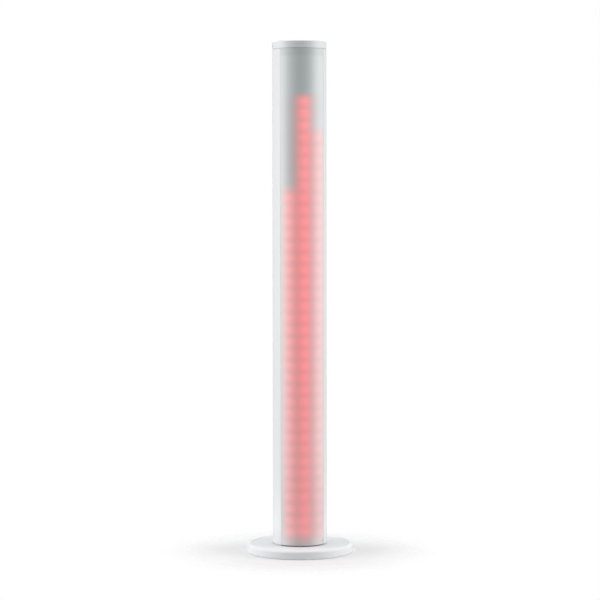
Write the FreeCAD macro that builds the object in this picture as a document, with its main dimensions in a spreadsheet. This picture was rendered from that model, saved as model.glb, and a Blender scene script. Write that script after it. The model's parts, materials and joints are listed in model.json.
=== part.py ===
"""A free-standing LED light column: a white tube with a frosted front, on a round weighted base.

The column stands on the floor with its front towards -Y. The origin is the middle of the floor under
the base, +Z is up, and every size is in millimetres. Azimuths are in degrees round the tube's axis,
from the front, positive towards +X, so the back of the tube is at 180.
"""

import FreeCAD
import Part
import Sketcher
import math
import os
import re
import sys

# The driving dimensions. Each becomes a named cell of the sheet.
SIZES = {
    # the whole column
    "total_height": 1040,
    "tube_diameter": 110,
    "housing_wall": 2.6,
    "diffuser_wall": 2.4,
    "base_diameter": 214,
    "base_top": 18,
    "seat_gap": 2,
    "cap_band": 15,
    "cap_gap": 0.6,
    "cap_round": 2.4,
    # the seams between the diffuser and the housing, as azimuths, and the channel behind them
    "diffuser_edge": 53.3,
    "housing_edge": 53.7,
    "tongue_root": 49.6,
    "tongue_edge": 58.4,
    "rib_edge": 59,
    "rib_back": 61,
    "lip_edge": 54.8,
    "tongue_play": 0.3,
    "tongue_wall": 1.6,
    "lip_play": 0.4,
    "lip_wall": 1.5,
    # the screw bosses along the inside of the housing
    "boss_circle": 49,
    "boss_radius": 3.8,
    "boss_hole": 1.6,
    "front_boss": 80,
    "back_boss": 130,
    # the base
    "rim_lift": 0.5,
    "edge_round": 5.5,
    "bead_width": 7.5,
    "plateau_drop": 0.5,
    "cover_wall": 3,
    "weight_thick": 8,
    "weight_play": 2,
    "foot_radius": 11,
    "foot_circle": 84,
    "foot_height": 2.5,
    "weight_screw_circle": 76,
    "cover_post": 7,
    "pocket_depth": 4,
    "long_head": 4,
    "thread_reach": 14,
    # the disc under the tube and the ring at its top
    "plug_depth": 13,
    "plug_outer": 40.6,
    "plug_inner": 36.6,
    "lock_post_width": 9,
    "ring_height": 10,
    "ring_plug": 16,
    "ring_inset": 3.2,
    "cap_wall": 2.6,
    "cap_skirt": 3,
    "cap_screw_rise": 5.5,
    # the LED boards and their carrier
    "led_rows": 10,
    "led_pitch": 24.2,
    "led_column": 18,
    "led_size": 5,
    "led_thick": 1.6,
    "first_board": 35,
    "board_front": 30,
    "board_width": 68,
    "board_thick": 1.6,
    "spacer_length": 4,
    "carrier_width": 81,
    "carrier_thick": 1.5,
    "carrier_flange": 12,
    "ledge_reach": 35.4,
    "ledge_thick": 2,
    "ledge_inset": 3,
    "flange_place": 33,
    "board_screw_inset": 5,
    "carrier_screw_inset": 2.2,
    "spacer_radius": 3,
    "link_width": 14,
    "link_length": 16,
    "link_thick": 3.4,
    # the control panel in the back of the housing
    "panel_width": 60,
    "panel_height": 170,
    "panel_low": 36,
    "panel_floor": 43,
    "panel_thick": 2.6,
    "panel_wall": 2.2,
    "panel_play": 0.3,
    "window_corner": 4.3,
    "tray_corner": 4,
    "pocket_corner": 2,
    "flange_margin": 11,
    "flange_width": 52,
    "flange_thick": 2.2,
    "panel_screw_margin": 6,
    "panel_screw_side": 19,
    "panel_post_side": 23.5,
    "panel_post": 2.6,
    "inlet_level": 60,
    "input_level": 96,
    "output_level": 131,
    "button_level": 163,
    "display_level": 184,
    "button_pitch": 11.5,
    "button_radius": 3.6,
    "button_proud": 2,
    "button_travel": 0.9,
    "button_hole_play": 0.4,
    "button_round": 0.7,
    "sound_hole": 1.4,
    "microphone_drop": 12,
    "display_width": 36,
    "display_tall": 17,
    "display_sink": 0.8,
    # the sockets in the panel: each barrel goes through its floor and each flange lies on it
    "flange_proud": 2,
    "inlet_width": 31,
    "inlet_tall": 24,
    "inlet_shell": 27.2,
    "inlet_shell_tall": 19.8,
    "inlet_end": 22,
    "inlet_floor": 28,
    "pin_end": 19,
    "pin_tip": 42,
    "pin_side": 7,
    "pin_long": 4,
    "socket_radius": 11.6,
    "socket_bore": 9.6,
    "socket_width": 26,
    "socket_tall": 30.4,
    "socket_end": 24,
    "socket_screw_side": 9.6,
    "socket_screw_rise": 12.4,
    "contact_side": 3.1,
    "contact_drop": 4.2,
    "contact_end": 20,
    "contact_bore": 1.5,
    "insert_radius": 7.6,
    "latch_low": 10,
    "latch_tall": 4.2,
    "latch_width": 8,
    "latch_proud": 1.8,
    # the board behind the panel
    "panel_board_face": 34.5,
    "panel_board_width": 54,
    "small_head": 2.2,
    "small_shank": 1.15,
    "small_head_thick": 1.4,
    # the electronics behind the carrier
    "supply_low": 260,
    "supply_height": 150,
    "circuit_width": 62,
    "circuit_depth": 12.9,
    "controller_low": 62,
    "controller_height": 140,
    "standoff_radius": 2.8,
    "standoff_side": 26,
    "standoff_inset": 5,
    "shield_lift": 4,
    "shield_thick": 0.5,
    # common fasteners
    "screw_radius": 1.4,
    "screw_hole": 1.5,
    "screw_head": 2.8,
    "head_thick": 1.8,
    # the screw that locks the diffuser at its lower right
    "lock_azimuth": 48.5,
    "lock_level": 27,
}

doc = FreeCAD.newDocument("light_column")
sheet = doc.addObject("Spreadsheet::Sheet", "Sizes")
for row, (name, number) in enumerate(SIZES.items(), start=1):
    sheet.set(f"A{row}", name)
    sheet.set(f"B{row}", str(number))
    sheet.setAlias(f"B{row}", name)
doc.recompute()

# Formulas that many pieces share, in the sheet's names.
OUTER = "(tube_diameter / 2)"
INNER = f"({OUTER} - housing_wall)"
TUBE_LOW = "(base_top + seat_gap)"
CAP_LOW = "(total_height - cap_band)"
TUBE_HIGH = f"({CAP_LOW} - cap_gap)"
PLATEAU = "(base_top - plateau_drop)"
BOARD_BACK = "(-board_front + board_thick)"
CARRIER_FRONT = f"({BOARD_BACK} + spacer_length)"
CARRIER_BACK = f"({CARRIER_FRONT} + carrier_thick)"
CIRCUIT_FRONT = f"({CARRIER_BACK} + circuit_depth)"
CIRCUIT_BACK = f"({CIRCUIT_FRONT} + board_thick)"
BOARD_LENGTH = "(led_rows * led_pitch)"
PANEL_HIGH = "(panel_low + panel_height)"
FLOOR_BACK = "(panel_floor - panel_thick)"
SOCKET_FACE = "(panel_floor + flange_proud)"
MICROPHONE = "(button_level - microphone_drop)"
PIN_RADIUS = "(contact_bore - 0.3)"
BUTTON_BACK = f"({FLOOR_BACK} - 1.2)"

BOARDS = 4
BOSSES = ("front_boss", "-front_boss", "back_boss", "-back_boss")
CAP_SCREW_AZIMUTHS = (-90, 90, 180)

parts = {}


# ---- tools for building ----


def in_sheet(match):
    """A name as an expression reads it: a cell of the sheet, or a function such as sin."""
    word = match.group(0)
    return f"Sizes.{word}" if word in SIZES else word


def formula(text):
    return re.sub(r"[a-z][a-z_]*", in_sheet, str(text))


def value(text):
    """The number that a formula gives now."""
    return float(sheet.evalExpression(formula(text)))


def bind(obj, **formulas):
    """Ties properties to formulas. Base_x, Base_y and Base_z stand for the place of the object."""
    for prop, text in formulas.items():
        obj.setExpression(prop.replace("Base_", "Placement.Base."), formula(text))
    return obj


def new(kind, name):
    return doc.addObject(f"Part::{kind}", name)


def block(name, xs, ys, zs):
    """A box between two faces along each axis."""
    made = new("Box", name)
    for side, (low, high) in zip(("Length", "Width", "Height"), (xs, ys, zs)):
        bind(made, **{side: f"({high}) - ({low})"})
    return bind(made, Base_x=xs[0], Base_y=ys[0], Base_z=zs[0])


def around(name, width, ys, level, tall):
    """A box centred on x = 0 and on a level, between two faces along Y."""
    xs = (f"-({width}) / 2", f"({width}) / 2")
    zs = (f"{level} - ({tall}) / 2", f"{level} + ({tall}) / 2")
    return block(name, xs, ys, zs)


def upright(name, radius, zs, x="0", y="0"):
    """A cylinder along Z."""
    made = new("Cylinder", name)
    bind(made, Radius=radius, Height=f"({zs[1]}) - ({zs[0]})")
    return bind(made, Base_x=x, Base_y=y, Base_z=zs[0])


def crosswise(name, radius, ys, x, z):
    """A cylinder along Y."""
    made = new("Cylinder", name)
    bind(made, Radius=radius, Height=f"({ys[1]}) - ({ys[0]})")
    made.Placement.Rotation = FreeCAD.Rotation(FreeCAD.Vector(1, 0, 0), -90)
    return bind(made, Base_x=x, Base_y=ys[0], Base_z=z)


def outward(made, azimuth, reach, z):
    """Turns a piece made along Z so that it points away from the tube's axis, from a given reach."""
    tip = FreeCAD.Rotation(FreeCAD.Vector(1, 0, 0), 90)
    turn = FreeCAD.Rotation(FreeCAD.Vector(0, 0, 1), value(azimuth))
    made.Placement.Rotation = turn.multiply(tip)
    return bind(
        made,
        Base_x=f"({reach}) * sin({azimuth})",
        Base_y=f"-({reach}) * cos({azimuth})",
        Base_z=z,
    )


def radial(name, radius, reaches, azimuth, z):
    """A cylinder that points away from the tube's axis."""
    made = new("Cylinder", name)
    bind(made, Radius=radius, Height=f"({reaches[1]}) - ({reaches[0]})")
    return outward(made, azimuth, reaches[0], z)


def radial_cone(name, radii, reaches, azimuth, z):
    made = new("Cone", name)
    bind(made, Radius1=radii[0], Radius2=radii[1], Height=f"({reaches[1]}) - ({reaches[0]})")
    return outward(made, azimuth, reaches[0], z)


def fuse(name, pieces):
    made = new("MultiFuse", name)
    made.Shapes = list(pieces)
    return made


def cut(name, base, tools):
    made = new("Cut", name)
    made.Base = base
    made.Tool = tools[0] if len(tools) == 1 else fuse(f"{name}_tools", tools)
    return made


def common(name, first, second):
    made = new("Common", name)
    made.Base = first
    made.Tool = second
    return made


def group(name, pieces):
    """Several separate solids in one node."""
    made = new("Compound", name)
    made.Links = list(pieces)
    return made


def keep(name, made):
    """Files a finished piece under its node's name."""
    made.Label = name
    parts[name] = made
    return made


# ---- tools for sketches ----


def new_body(name):
    return doc.addObject("PartDesign::Body", name)


def new_sketch(body, name, role, lift="0"):
    """A sketch on one of the body's own origin planes, lifted along the plane's normal."""
    made = body.newObject("Sketcher::SketchObject", name)
    plane = next(f for f in body.Origin.OriginFeatures if f.Role == role)
    made.AttachmentSupport = (plane, [""])
    made.MapMode = "FlatFace"
    made.setExpression("AttachmentOffset.Base.z", formula(lift))
    return made


def fix_point(sketch, edge, end, x, y):
    """Holds one end of an edge at a place given by formulas."""
    for kind, text in (("DistanceX", x), ("DistanceY", y)):
        spot = sketch.addConstraint(Sketcher.Constraint(kind, -1, 1, edge, end, value(text)))
        sketch.setExpression(f"Constraints[{spot}]", formula(text))


def draw(sketch, corners):
    """A closed outline. A corner is (x, y), or (x, y, radius, turn) where an arc follows it.

    The arc is centred on the sketch's origin and turn is 1 anticlockwise or -1 clockwise.
    """
    spots = [FreeCAD.Vector(value(c[0]), value(c[1]), 0) for c in corners]
    ends = []
    for n, corner in enumerate(corners):
        start, stop = spots[n], spots[(n + 1) % len(spots)]
        if len(corner) == 2:
            edge = sketch.addGeometry(Part.LineSegment(start, stop), False)
            ends.append((edge, 1, 2))
            continue
        circle = Part.Circle(FreeCAD.Vector(0, 0, 0), FreeCAD.Vector(0, 0, 1), value(corner[2]))
        first, last = (start, stop) if corner[3] > 0 else (stop, start)
        angles = [math.atan2(p.y, p.x) for p in (first, last)]
        if angles[1] <= angles[0]:
            angles[1] += 2 * math.pi
        edge = sketch.addGeometry(Part.ArcOfCircle(circle, *angles), False)
        ends.append((edge, 1, 2) if corner[3] > 0 else (edge, 2, 1))
        size = sketch.addConstraint(Sketcher.Constraint("Radius", edge, value(corner[2])))
        sketch.setExpression(f"Constraints[{size}]", formula(corner[2]))
    for n, corner in enumerate(corners):
        edge, start, stop = ends[n]
        after = ends[(n + 1) % len(ends)]
        sketch.addConstraint(Sketcher.Constraint("Coincident", edge, stop, after[0], after[1]))
        fix_point(sketch, edge, start, corner[0], corner[1])


def draw_circle(sketch, radius, x, y):
    centre = FreeCAD.Vector(value(x), value(y), 0)
    circle = Part.Circle(centre, FreeCAD.Vector(0, 0, 1), value(radius))
    edge = sketch.addGeometry(circle, False)
    size = sketch.addConstraint(Sketcher.Constraint("Radius", edge, value(radius)))
    sketch.setExpression(f"Constraints[{size}]", formula(radius))
    fix_point(sketch, edge, 3, x, y)


def on_tube(reach, azimuth):
    """A corner given by its distance from the axis and its azimuth."""
    return (f"({reach}) * sin({azimuth})", f"-({reach}) * cos({azimuth})")


def arc_from(reach, azimuth, turn):
    return on_tube(reach, azimuth) + (reach, turn)


def pad(body, name, sketch, length):
    made = body.newObject("PartDesign::Pad", name)
    made.Profile = sketch
    made.setExpression("Length", formula(length))
    return made


def revolve(body, name, sketch):
    """A full turn about the sketch's upright axis."""
    made = body.newObject("PartDesign::Revolution", name)
    made.Profile = sketch
    made.ReferenceAxis = (sketch, ["V_Axis"])
    made.Angle = 360
    return made


def round_edges(body, name, turned, radius, level, size):
    """Rounds the circular edges of one radius at one level of a turned feature."""
    doc.recompute()
    edges = []
    for n, edge in enumerate(turned.Shape.Edges, start=1):
        if not isinstance(edge.Curve, Part.Circle):
            continue
        at_level = abs(edge.Curve.Center.z - value(level)) < 0.01
        if at_level and abs(edge.Curve.Radius - value(radius)) < 0.01:
            edges.append(f"Edge{n}")
    made = body.newObject("PartDesign::Fillet", name)
    made.Base = (turned, edges)
    made.setExpression("Radius", formula(size))
    return made


# ---- screws ----


def crosswise_screw(name, x, z, ys):
    """A pan-head screw along Y: its head faces ys[0] and its shank runs on to ys[1]."""
    toward = "-" if value(ys[1]) > value(ys[0]) else "+"
    crown = f"({ys[0]}) {toward} head_thick"
    head_span = (crown, ys[0]) if toward == "-" else (ys[0], crown)
    shank_span = (ys[0], ys[1]) if toward == "-" else (ys[1], ys[0])
    head = crosswise(f"{name}_head", "screw_head", head_span, x, z)
    shank = crosswise(f"{name}_shank", "screw_radius", shank_span, x, z)
    slots = []
    floor = f"({ys[0]}) {toward} head_thick / 2"
    slot_span = (f"({crown}) - 1", floor) if toward == "-" else (floor, f"({crown}) + 1")
    for arm, (wide, tall) in enumerate(((1.8, 0.4), (0.4, 1.8))):
        xs = (f"{x} - {wide}", f"{x} + {wide}")
        zs = (f"{z} - {tall}", f"{z} + {tall}")
        slots.append(block(f"{name}_slot_{arm}", xs, slot_span, zs))
    return cut(name, fuse(f"{name}_solid", [head, shank]), slots)


def upright_screw(name, x, y, zs, head_radius, shank_radius):
    """A screw with its head at the bottom, seated at zs[0], whose shank runs up to zs[1]."""
    low = f"({zs[0]}) - head_thick"
    head = upright(f"{name}_head", head_radius, (low, zs[0]), x, y)
    shank = upright(f"{name}_shank", shank_radius, zs, x, y)
    key = upright(f"{name}_key", f"{head_radius} / 2", (f"{low} - 1", f"{low} + head_thick / 2"), x, y)
    return cut(name, fuse(f"{name}_solid", [head, shank]), [key])


def radial_screw(name, reaches, azimuth, z):
    """A countersunk screw pointing at the tube's axis: the face of its head is at reaches[1]."""
    seat = f"({reaches[1]}) - head_thick"
    head = radial_cone(f"{name}_head", ("screw_radius", "screw_head"), (seat, reaches[1]), azimuth, z)
    shank = radial(f"{name}_shank", "screw_radius", (reaches[0], seat), azimuth, z)
    floor = f"({reaches[1]}) - head_thick / 2"
    key = radial(f"{name}_key", "screw_head / 2.4", (floor, f"({reaches[1]}) + 1"), azimuth, z)
    return cut(name, fuse(f"{name}_solid", [head, shank]), [key])


def radial_screw_hole(name, reaches, azimuth, z):
    """The clearance for a radial screw: a bore with a countersink at its mouth."""
    seat = f"({reaches[1]}) - head_thick - 0.5"
    bore = radial(f"{name}_bore", "screw_hole", (reaches[0], f"({reaches[1]}) + 1"), azimuth, z)
    brim = "screw_head + 0.35"
    sink = radial_cone(f"{name}_sink", ("screw_hole", brim), (seat, reaches[1]), azimuth, z)
    mouth = radial(f"{name}_mouth", brim, (reaches[1], f"({reaches[1]}) + 1"), azimuth, z)
    return fuse(name, [bore, sink, mouth])


# ---- the base ----


def make_base_cover():
    """The moulded cover: a rounded bead round a slightly lower plateau, hollow underneath."""
    body = new_body("base_cover_shell")
    rim = "(base_diameter / 2)"
    profile = new_sketch(body, "base_profile", "XZ_Plane")
    draw(
        profile,
        [
            ("0", PLATEAU),
            ("0", f"{PLATEAU} - cover_wall"),
            (f"{rim} - cover_wall - edge_round", f"{PLATEAU} - cover_wall"),
            (f"{rim} - cover_wall", f"{PLATEAU} - cover_wall - edge_round / 2"),
            (f"{rim} - cover_wall", "rim_lift"),
            (rim, "rim_lift"),
            (rim, "base_top"),
            (f"{rim} - bead_width", "base_top"),
            (f"{rim} - bead_width - plateau_drop", PLATEAU),
        ],
    )
    turned = revolve(body, "base_turn", profile)
    round_edges(body, "bead_round", turned, rim, "base_top", "edge_round")
    posts = new_sketch(body, "post_circles", "XY_Plane", "foot_height + weight_thick")
    for azimuth in (0, 90, 180, 270):
        spot = on_tube("weight_screw_circle", azimuth)
        draw_circle(posts, "cover_post", *spot)
        draw_circle(posts, "screw_hole", *spot)
    pad(body, "posts", posts, f"{PLATEAU} - cover_wall - foot_height - weight_thick + 0.5")
    holes = [
        upright(f"cover_hole_{n}", "boss_hole + 0.4", (PLATEAU + " - 5", PLATEAU + " + 1"), *spot)
        for n, spot in enumerate(boss_spots())
    ]
    keep("base_cover", cut("base_cover", body, holes))


def boss_spots():
    return [on_tube("boss_circle", azimuth) for azimuth in BOSSES]


def make_weight_plate():
    """The steel disc that keeps the column upright, with pockets for the screw heads."""
    span = ("foot_height", "foot_height + weight_thick")
    disc = upright("weight_disc", "base_diameter / 2 - cover_wall - weight_play", span)
    holes = []
    for n, spot in enumerate(boss_spots()):
        holes.append(upright(f"weight_hole_{n}", "boss_hole + 0.4", ("0", "20"), *spot))
        pocket = ("0", "foot_height + pocket_depth")
        holes.append(upright(f"weight_pocket_{n}", "long_head + 0.6", pocket, *spot))
    for n, azimuth in enumerate((0, 90, 180, 270)):
        spot = on_tube("weight_screw_circle", azimuth)
        holes.append(upright(f"plate_hole_{n}", "screw_hole + 0.2", ("0", "20"), *spot))
        pocket = ("0", "foot_height + pocket_depth - 1")
        holes.append(upright(f"plate_pocket_{n}", "screw_head + 0.8", pocket, *spot))
    keep("weight_plate", cut("weight_plate", disc, holes))


def make_rubber_feet():
    feet = []
    for n, azimuth in enumerate((45, 135, 225, 315)):
        spot = on_tube("foot_circle", azimuth)
        foot = new("Cone", f"foot_{n}")
        bind(foot, Radius1="foot_radius - 1", Radius2="foot_radius", Height="foot_height")
        feet.append(bind(foot, Base_x=spot[0], Base_y=spot[1], Base_z="0"))
    keep("rubber_feet", group("rubber_feet", feet))


def make_base_screws():
    """Four long screws up through the base into the bosses of the housing."""
    long_screws = [
        upright_screw(
            f"base_screw_{n}",
            *spot,
            ("foot_height + pocket_depth", f"{TUBE_LOW} + thread_reach"),
            "long_head",
            "boss_hole - 0.05",
        )
        for n, spot in enumerate(boss_spots())
    ]
    keep("base_screws", group("base_screws", long_screws))
    short_screws = [
        upright_screw(
            f"weight_screw_{n}",
            *on_tube("weight_screw_circle", azimuth),
            ("foot_height + pocket_depth - 1", f"{PLATEAU} - cover_wall - 0.5"),
            "screw_head",
            "screw_radius",
        )
        for n, azimuth in enumerate((0, 90, 180, 270))
    ]
    keep("weight_screws", group("weight_screws", short_screws))


def make_bottom_cap():
    """The dark disc that the tube stands on, with a plug inside the tube and a post for the lock screw."""
    seat = upright("cap_seat", f"{INNER} + 0.2", (PLATEAU, TUBE_LOW))
    plug = cut(
        "cap_plug",
        upright("plug_wall", "plug_outer", (TUBE_LOW, f"{TUBE_LOW} + plug_depth")),
        [upright("plug_core", "plug_inner", (TUBE_LOW, f"{TUBE_LOW} + plug_depth + 1"))],
    )
    post = new("Box", "lock_post")
    bind(post, Length="lock_post_width", Width="plug_depth", Height="plug_depth")
    turn = FreeCAD.Rotation(FreeCAD.Vector(0, 0, 1), value("lock_azimuth"))
    post.Placement.Rotation = turn
    # the post's own corner is on its left, at its outer end
    reach = f"({INNER} - tongue_play - tongue_wall - 0.3)"
    bind(
        post,
        Base_x=f"{reach} * sin(lock_azimuth) - lock_post_width / 2 * cos(lock_azimuth)",
        Base_y=f"-{reach} * cos(lock_azimuth) - lock_post_width / 2 * sin(lock_azimuth)",
        Base_z=TUBE_LOW,
    )
    solid = fuse("bottom_cap_solid", [seat, plug, post])
    holes = [
        upright(f"seat_hole_{n}", "boss_hole + 0.4", ("10", "30"), *spot)
        for n, spot in enumerate(boss_spots())
    ]
    holes.append(
        radial("lock_hole", "screw_hole", (f"{OUTER} - thread_reach", OUTER), "lock_azimuth", "lock_level")
    )
    keep("bottom_cap", cut("bottom_cap", solid, holes))


# ---- the tube ----


def make_rear_housing():
    """The extrusion: a shell round the back, a channel along each seam, ledges and screw bosses."""
    body = new_body("housing_extrusion")
    lip_outer = f"({INNER} - tongue_play - tongue_wall - lip_play)"
    lip_inner = f"({lip_outer} - lip_wall)"
    section = new_sketch(body, "housing_section", "XY_Plane", TUBE_LOW)
    draw(
        section,
        [
            arc_from(OUTER, "housing_edge", 1),
            on_tube(OUTER, "-housing_edge"),
            arc_from(INNER, "-housing_edge", -1),
            on_tube(INNER, "-rib_edge"),
            arc_from(lip_outer, "-rib_edge", 1),
            on_tube(lip_outer, "-lip_edge"),
            arc_from(lip_inner, "-lip_edge", -1),
            on_tube(lip_inner, "-rib_back"),
            arc_from(INNER, "-rib_back", -1),
            on_tube(INNER, "rib_back"),
            arc_from(lip_inner, "rib_back", -1),
            on_tube(lip_inner, "lip_edge"),
            arc_from(lip_outer, "lip_edge", 1),
            on_tube(lip_outer, "rib_edge"),
            arc_from(INNER, "rib_edge", -1),
            on_tube(INNER, "housing_edge"),
        ],
    )
    length = f"{TUBE_HIGH} - {TUBE_LOW}"
    pad(body, "housing_length", section, length)
    ribs = new_sketch(body, "boss_section", "XY_Plane", TUBE_LOW)
    for spot in boss_spots():
        draw_circle(ribs, "boss_radius", *spot)
        draw_circle(ribs, "boss_hole", *spot)
    for side in ("", "-"):
        inner_x = f"{side}ledge_reach"
        outer_x = f"{side}({INNER} - ledge_inset)"
        draw(
            ribs,
            [
                (inner_x, CARRIER_BACK),
                (outer_x, CARRIER_BACK),
                (outer_x, f"{CARRIER_BACK} + ledge_thick"),
                (inner_x, f"{CARRIER_BACK} + ledge_thick"),
            ],
        )
    pad(body, "boss_length", ribs, length)
    window = rounded_window("housing_window", "0", ("20", "80"), "window_corner")
    holes = [
        crosswise(f"housing_panel_hole_{n}", "screw_hole + 0.2", ("35", "80"), x, z)
        for n, (x, z) in enumerate(panel_screw_spots())
    ]
    for n, (x, z) in enumerate(carrier_screw_spots()):
        span = (f"{CARRIER_BACK} - 1", f"{CARRIER_BACK} + ledge_thick + 1")
        holes.append(crosswise(f"ledge_hole_{n}", "screw_hole", span, x, z))
    keep("rear_housing", cut("rear_housing", body, [window] + holes))


def make_front_diffuser():
    """The frosted front: an arc of the same tube, with a tongue along each edge in the housing's channel."""
    body = new_body("diffuser_extrusion")
    inside = f"({OUTER} - diffuser_wall)"
    tongue_outer = f"({INNER} - tongue_play)"
    tongue_inner = f"({tongue_outer} - tongue_wall)"
    section = new_sketch(body, "diffuser_section", "XY_Plane", TUBE_LOW)
    draw(
        section,
        [
            arc_from(OUTER, "-diffuser_edge", 1),
            on_tube(OUTER, "diffuser_edge"),
            arc_from(tongue_outer, "diffuser_edge", 1),
            on_tube(tongue_outer, "tongue_edge"),
            arc_from(tongue_inner, "tongue_edge", -1),
            on_tube(tongue_inner, "tongue_root"),
            arc_from(inside, "tongue_root", -1),
            on_tube(inside, "-tongue_root"),
            arc_from(tongue_inner, "-tongue_root", -1),
            on_tube(tongue_inner, "-tongue_edge"),
            arc_from(tongue_outer, "-tongue_edge", 1),
            on_tube(tongue_outer, "-diffuser_edge"),
        ],
    )
    pad(body, "diffuser_length", section, f"{TUBE_HIGH} - {TUBE_LOW}")
    hole = radial_screw_hole("lock_clearance", (f"{OUTER} - 8", OUTER), "lock_azimuth", "lock_level")
    keep("front_diffuser", cut("front_diffuser", body, [hole]))
    screw = radial_screw(
        "diffuser_lock_screw", (f"{OUTER} - 12", f"{OUTER} - 0.2"), "lock_azimuth", "lock_level"
    )
    keep("diffuser_lock_screw", screw)


def make_top():
    """The ring that closes the tube, its four screws, the cap over it and the cap's side screws."""
    ring_high = f"({CAP_LOW} + ring_height)"
    flange = upright("ring_flange", f"{OUTER} - ring_inset", (TUBE_HIGH, ring_high))
    plug = upright("ring_sleeve", "plug_outer", (f"{TUBE_HIGH} - ring_plug", TUBE_HIGH))
    core = upright("ring_core", "plug_inner", (f"{TUBE_HIGH} - ring_plug - 1", f"{ring_high} + 1"))
    screw_level = f"({CAP_LOW} + cap_screw_rise)"
    seat = f"({ring_high} - 3)"
    holes = [core]
    for n, spot in enumerate(boss_spots()):
        holes.append(upright(f"ring_hole_{n}", "boss_hole + 0.3", (f"{TUBE_HIGH} - 1", "2000"), *spot))
        holes.append(upright(f"ring_pocket_{n}", "screw_head + 0.6", (seat, "2000"), *spot))
    for n, azimuth in enumerate(CAP_SCREW_AZIMUTHS):
        span = (f"{OUTER} - 12", OUTER)
        holes.append(radial(f"ring_side_hole_{n}", "screw_hole", span, azimuth, screw_level))
    keep("top_ring", cut("top_ring", fuse("ring_solid", [flange, plug]), holes))

    ring_screws = []
    for n, spot in enumerate(boss_spots()):
        head = upright(f"ring_screw_head_{n}", "screw_head + 0.2", (seat, f"{seat} + head_thick"), *spot)
        shank = upright(f"ring_screw_shank_{n}", "boss_hole - 0.05", (f"{TUBE_HIGH} - 12", seat), *spot)
        key_span = (f"{seat} + head_thick / 2", f"{seat} + 3")
        key = upright(f"ring_screw_key_{n}", "screw_hole", key_span, *spot)
        solid = fuse(f"ring_screw_solid_{n}", [head, shank])
        ring_screws.append(cut(f"ring_screw_{n}", solid, [key]))
    keep("ring_screws", group("ring_screws", ring_screws))

    body = new_body("cap_cup")
    profile = new_sketch(body, "cap_profile", "XZ_Plane")
    draw(
        profile,
        [
            ("0", "total_height"),
            ("0", "total_height - cap_wall"),
            (f"{OUTER} - cap_skirt", "total_height - cap_wall"),
            (f"{OUTER} - cap_skirt", CAP_LOW),
            (OUTER, CAP_LOW),
            (OUTER, "total_height"),
        ],
    )
    turned = revolve(body, "cap_turn", profile)
    round_edges(body, "cap_round", turned, OUTER, "total_height", "cap_round")
    sinks = [
        radial_screw_hole(f"cap_sink_{n}", (f"{OUTER} - 6", OUTER), azimuth, screw_level)
        for n, azimuth in enumerate(CAP_SCREW_AZIMUTHS)
    ]
    keep("top_cap", cut("top_cap", body, sinks))
    screws = [
        radial_screw(f"cap_screw_{n}", (f"{OUTER} - 10", f"{OUTER} - 0.3"), azimuth, screw_level)
        for n, azimuth in enumerate(CAP_SCREW_AZIMUTHS)
    ]
    keep("cap_screws", group("cap_screws", screws))


# ---- the LED boards ----


def board_low(n):
    return f"(first_board + {n} * {BOARD_LENGTH})"


def board_screw_spots(n):
    """The places of one board's four screws."""
    xs = ("-board_width / 2 + board_screw_inset", "board_width / 2 - board_screw_inset")
    zs = (f"{board_low(n)} + led_pitch", f"{board_low(n)} + {BOARD_LENGTH} - led_pitch")
    return [(x, z) for z in zs for x in xs]


def carrier_screw_spots():
    levels = [f"first_board + {step} * {BOARDS} * {BOARD_LENGTH}" for step in (0.02, 0.34, 0.66, 0.98)]
    side = "(ledge_reach + carrier_screw_inset)"
    return [(x, z) for z in levels for x in (f"-{side}", side)]


def make_led_carrier():
    """The folded aluminium channel that holds the boards and bolts to the housing's ledges."""
    zs = ("first_board", f"first_board + {BOARDS} * {BOARD_LENGTH} + 4")
    plate = block(
        "carrier_plate", ("-carrier_width / 2", "carrier_width / 2"), (CARRIER_FRONT, CARRIER_BACK), zs
    )
    flanges = []
    outside = "flange_place + carrier_thick"
    for side, xs in (("left", (f"-({outside})", "-flange_place")), ("right", ("flange_place", outside))):
        ys = (CARRIER_FRONT, f"{CARRIER_BACK} + carrier_flange")
        flanges.append(block(f"carrier_flange_{side}", xs, ys, zs))
    across = (f"{CARRIER_FRONT} - 1", f"{CARRIER_BACK} + 1")
    spots = [spot for n in range(BOARDS) for spot in board_screw_spots(n)] + carrier_screw_spots()
    holes = [
        crosswise(f"carrier_hole_{n}", "screw_hole", across, x, z) for n, (x, z) in enumerate(spots)
    ]
    slot_level = "controller_low + 8"
    slot = block("lead_slot", ("-8", "8"), across, (f"{slot_level} - 4", f"{slot_level} + 4"))
    keep("led_carrier", cut("led_carrier", fuse("carrier_solid", [plate] + flanges), holes + [slot]))
    screws = [
        crosswise_screw(f"carrier_screw_{n}", x, z, (CARRIER_FRONT, f"{CARRIER_BACK} + 6"))
        for n, (x, z) in enumerate(carrier_screw_spots())
    ]
    keep("carrier_screws", group("carrier_screws", screws))


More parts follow.
